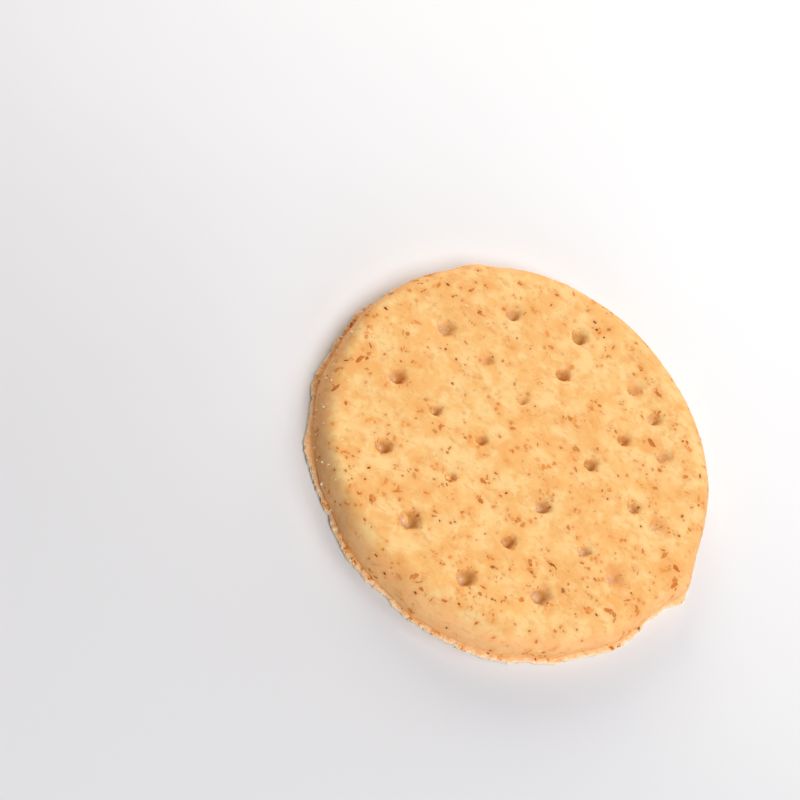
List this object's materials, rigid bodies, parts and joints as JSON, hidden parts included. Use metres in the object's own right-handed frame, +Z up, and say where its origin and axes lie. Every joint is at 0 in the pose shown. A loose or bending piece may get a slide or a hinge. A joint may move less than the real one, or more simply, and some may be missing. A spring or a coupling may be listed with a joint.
{
  "type": "docked oat biscuit",
  "caption": "Thin round baked oat and wholemeal biscuit with a docked, bran-flecked face, a soft shoulder and a crumbly foot; lies flat as served.",
  "frame": {"origin": "middle of the flat underside", "axes": "+Z up through the thickness, out of the docked face; X and Y lie in the underside"},
  "size_m": [0.0718, 0.0701, 0.0071],
  "materials": {
    "baked_dough": "matte pale-golden baked dough, mottled, with rust, ochre and brown bran flecks"
  },
  "bodies": {
    "root": {"biscuit": "baked_dough"}
  },
  "joints": []
}
